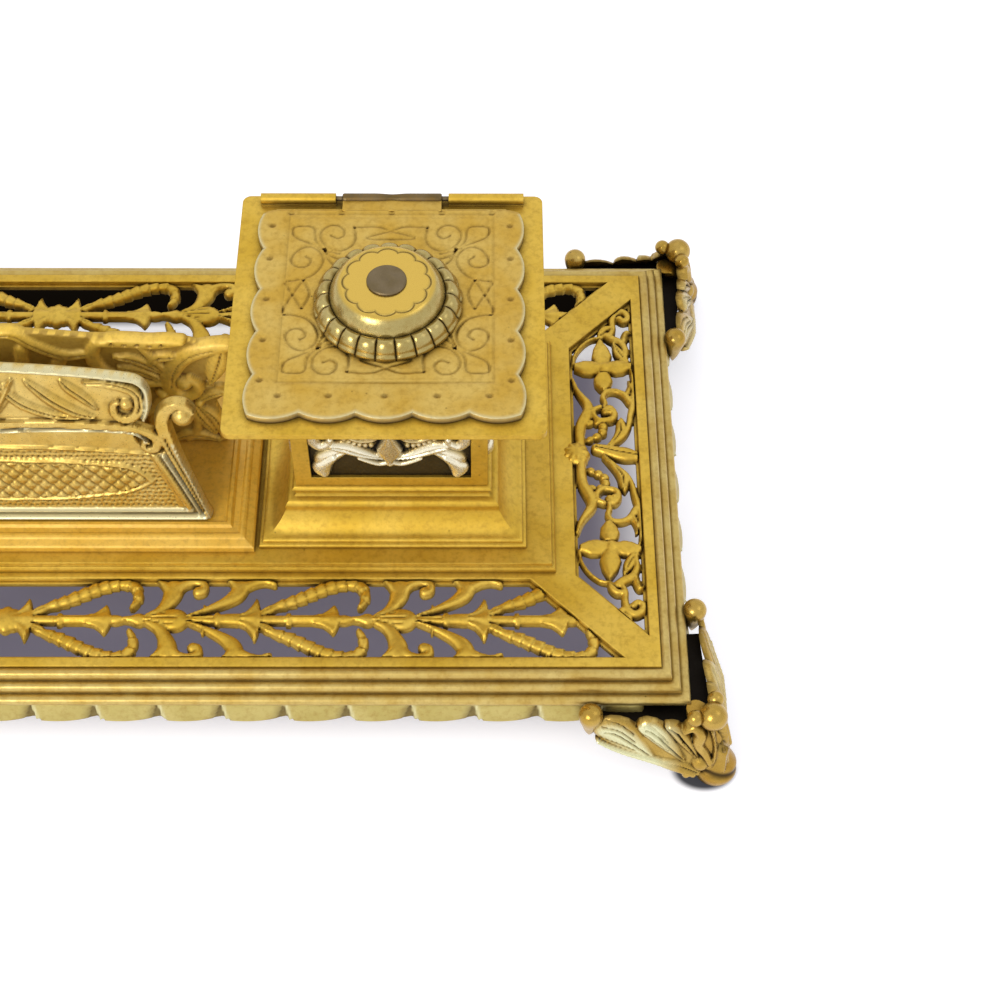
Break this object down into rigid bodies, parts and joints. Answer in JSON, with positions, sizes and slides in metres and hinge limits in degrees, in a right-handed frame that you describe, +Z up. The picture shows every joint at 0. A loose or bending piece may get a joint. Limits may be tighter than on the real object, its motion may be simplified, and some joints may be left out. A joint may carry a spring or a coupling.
{
  "type": "desk inkstand",
  "caption": "Victorian-style pierced brass desk inkstand on leaf feet, with square hinged-lid inkwells either side of a scroll-topped letter rack.",
  "frame": {"origin": "on the table, under the middle of the base, on the plane that the four toes rest on", "axes": "+X to the right along the length, the front with the plaque faces -Y, +Z up; the lids turn about lines parallel to X at the back of each inkwell"},
  "size_m": [0.336, 0.1538, 0.0868],
  "materials": {
    "cast_brass": "cast brass under aged golden lacquer, dark in the recesses",
    "pale_brass": "cast and stamped brass, lacquer worn to a paler greenish yellow",
    "silvered_brass": "cast brass relief, silvery rubbed high points on a dark ground",
    "steel": "dull brown-grey turned steel",
    "liner_glass": "clear pressed glass"
  },
  "bodies": {
    "stand": {"base_frame": "cast_brass", "platform": "cast_brass", "apron_front": "pale_brass", "apron_back": "pale_brass", "apron_left": "pale_brass", "apron_right": "pale_brass", "fret_front": "cast_brass", "fret_back": "cast_brass", "fret_left": "cast_brass", "fret_right": "cast_brass", "foot_front_left": "pale_brass", "foot_front_right": "pale_brass", "foot_back_left": "pale_brass", "foot_back_right": "pale_brass", "foot_screw_front_left": "steel", "foot_screw_front_right": "steel", "foot_screw_back_left": "steel", "foot_screw_back_right": "steel", "plinth_left": "cast_brass", "plinth_right": "cast_brass", "body_left": "cast_brass", "body_right": "cast_brass", "mask_left_front": "silvered_brass", "mask_left_back": "silvered_brass", "mask_left_outer": "silvered_brass", "mask_left_inner": "silvered_brass", "mask_right_front": "silvered_brass", "mask_right_back": "silvered_brass", "mask_right_outer": "silvered_brass", "mask_right_inner": "silvered_brass", "top_left": "cast_brass", "top_right": "cast_brass", "hinge_pin_left": "steel", "hinge_pin_right": "steel", "liner_left": "liner_glass", "liner_right": "liner_glass", "bolt_left": "steel", "bolt_right": "steel", "rack_tray": "cast_brass", "rack_front": "pale_brass", "rack_back": "cast_brass"},
    "left_lid": {"lid_left": "pale_brass", "boss_left": "pale_brass", "stud_left": "steel"},
    "right_lid": {"lid_right": "pale_brass", "boss_right": "pale_brass", "stud_right": "steel"}
  },
  "joints": [
    {"name": "left_lid_hinge", "type": "hinge", "parent": "stand", "child": "left_lid", "pos_m": [-0.0884, 0.0352, 0.07765], "axis": [-1, 0, 0], "range_deg": [0, 105]},
    {"name": "right_lid_hinge", "type": "hinge", "parent": "stand", "child": "right_lid", "pos_m": [0.0884, 0.0352, 0.07765], "axis": [-1, 0, 0], "range_deg": [0, 105]}
  ]
}
